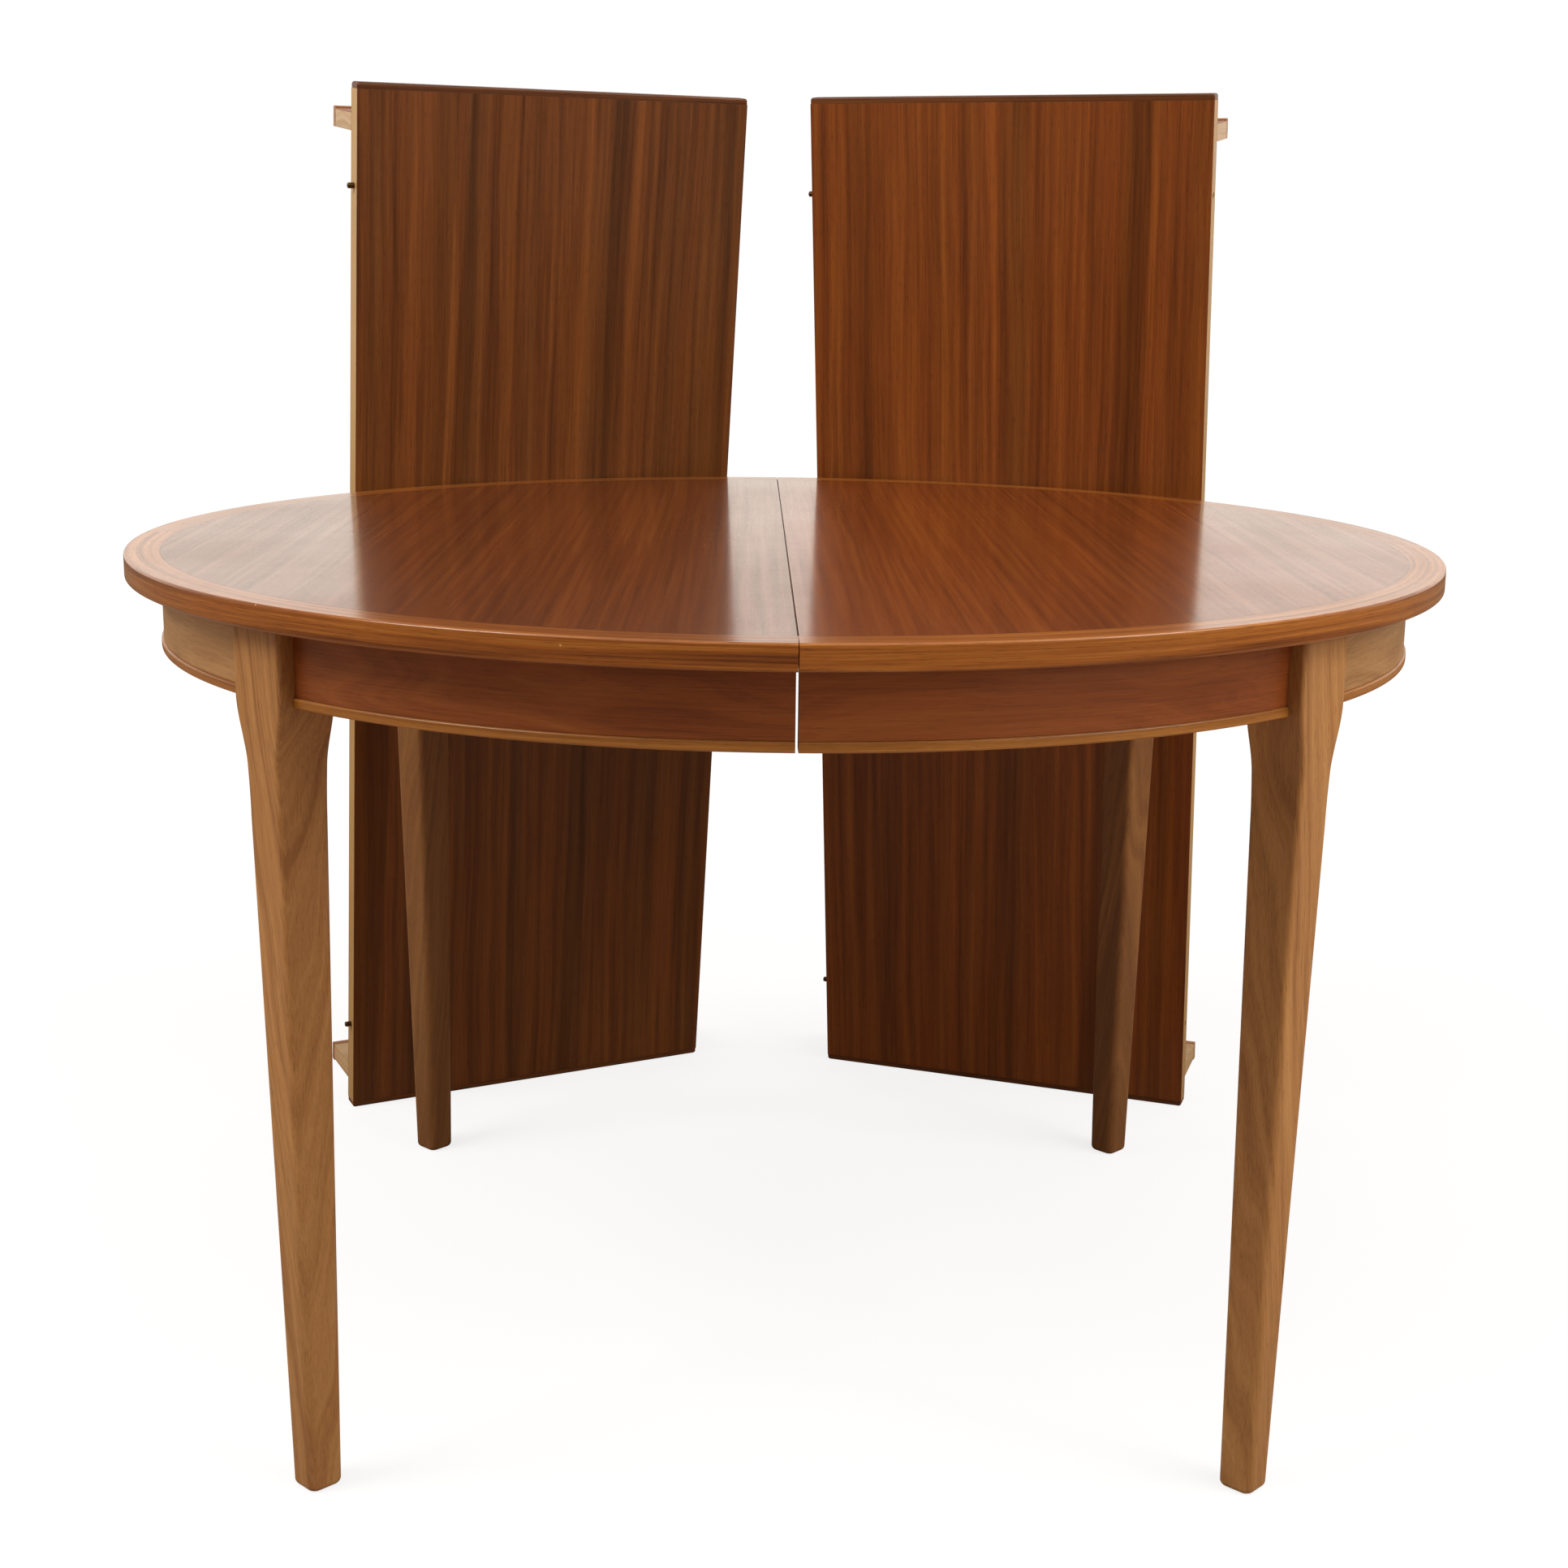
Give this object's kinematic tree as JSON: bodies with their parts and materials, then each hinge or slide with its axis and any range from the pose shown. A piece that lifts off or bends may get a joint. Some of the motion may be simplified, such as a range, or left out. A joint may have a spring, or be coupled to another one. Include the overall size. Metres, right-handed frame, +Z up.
{
  "type": "round extending dining table",
  "caption": "Round four-legged extending dining table, split top and curved apron, with two loose leaves leaning on its back rim.",
  "frame": {"origin": "on the floor under the middle of the whole set, table and leaning leaves together; the table's own axis stands 90.3 mm in front of it", "axes": "+Z up; +X along the way the right half pulls out; the seam of the top runs along Y; the leaves lean on the +Y side"},
  "size_m": [1.15, 1.3304, 1.146],
  "materials": {
    "top_veneer": "satin lacquered walnut veneer",
    "rim_walnut": "satin lacquered solid walnut",
    "apron_walnut": "satin lacquered curved walnut veneer",
    "bead_walnut": "satin lacquered solid walnut",
    "leg_walnut": "satin lacquered solid walnut",
    "leaf_veneer": "satin lacquered walnut veneer",
    "leaf_back_veneer": "plain sealed veneer",
    "leaf_core": "raw blockboard",
    "leaf_apron": "veneered board with a pale core",
    "pale_strip": "oiled pale wood",
    "inner_softwood": "raw pine",
    "runner_beech": "waxed beech",
    "zinc_steel": "dull zinc plate",
    "pin_brass": "darkened brass"
  },
  "bodies": {
    "left_half": {"apron_front_left": "apron_walnut", "apron_rear_left": "apron_walnut", "apron_side_left": "apron_walnut", "bead_front_left": "bead_walnut", "bead_rear_left": "bead_walnut", "bead_side_left": "bead_walnut", "glue_blocks_left": "inner_softwood", "leg_block_front_left": "inner_softwood", "leg_block_rear_left": "inner_softwood", "leg_bolts_left": "zinc_steel", "leg_front_left": "leg_walnut", "leg_rear_left": "leg_walnut", "rim_front_left": "rim_walnut", "rim_rear_left": "rim_walnut", "runner_front_left": "runner_beech", "runner_rear_left": "runner_beech", "runner_screws_left": "zinc_steel", "seam_pins": "pin_brass", "top_panel_left": "top_veneer"},
    "right_half": {"apron_front_right": "apron_walnut", "apron_rear_right": "apron_walnut", "apron_side_right": "apron_walnut", "bead_front_right": "bead_walnut", "bead_rear_right": "bead_walnut", "bead_side_right": "bead_walnut", "glue_blocks_right": "inner_softwood", "leg_block_front_right": "inner_softwood", "leg_block_rear_right": "inner_softwood", "leg_bolts_right": "zinc_steel", "leg_front_right": "leg_walnut", "leg_rear_right": "leg_walnut", "rim_front_right": "rim_walnut", "rim_rear_right": "rim_walnut", "runner_front_right": "runner_beech", "runner_rear_right": "runner_beech", "runner_screws_right": "zinc_steel", "top_panel_right": "top_veneer"},
    "middle_runners": {"runner_front_middle": "runner_beech", "runner_rear_middle": "runner_beech"},
    "leaf_left": {"leaf_left_apron_lower": "leaf_apron", "leaf_left_apron_upper": "leaf_apron", "leaf_left_back_veneer": "leaf_back_veneer", "leaf_left_beads": "bead_walnut", "leaf_left_core": "leaf_core", "leaf_left_edge_strips": "pale_strip", "leaf_left_end_lippings": "rim_walnut", "leaf_left_face_veneer": "leaf_veneer", "leaf_left_pins": "pin_brass"},
    "leaf_right": {"leaf_right_apron_lower": "leaf_apron", "leaf_right_apron_upper": "leaf_apron", "leaf_right_back_veneer": "leaf_back_veneer", "leaf_right_beads": "bead_walnut", "leaf_right_core": "leaf_core", "leaf_right_edge_strips": "pale_strip", "leaf_right_end_lippings": "rim_walnut", "leaf_right_face_veneer": "leaf_veneer", "leaf_right_pins": "pin_brass"}
  },
  "joints": [
    {"name": "top_extension", "type": "slide", "parent": "left_half", "child": "right_half", "axis": [1, 0, 0], "range_m": [0, 0.886]},
    {"name": "middle_runner_slide", "type": "slide", "parent": "left_half", "child": "middle_runners", "axis": [1, 0, 0], "range_m": [0, 0.443]},
    {"name": "leaf_left_lift", "type": "slide", "parent": "left_half", "child": "leaf_left", "axis": [0.0487, -0.0968, 0.9941], "range_m": [0, 0.35]},
    {"name": "leaf_right_lift", "type": "slide", "parent": "right_half", "child": "leaf_right", "axis": [-0.0357, -0.0914, 0.9952], "range_m": [0, 0.35]}
  ],
  "couplings": [
    {"joint": "middle_runner_slide", "follows": "top_extension", "ratio": 0.5}
  ]
}
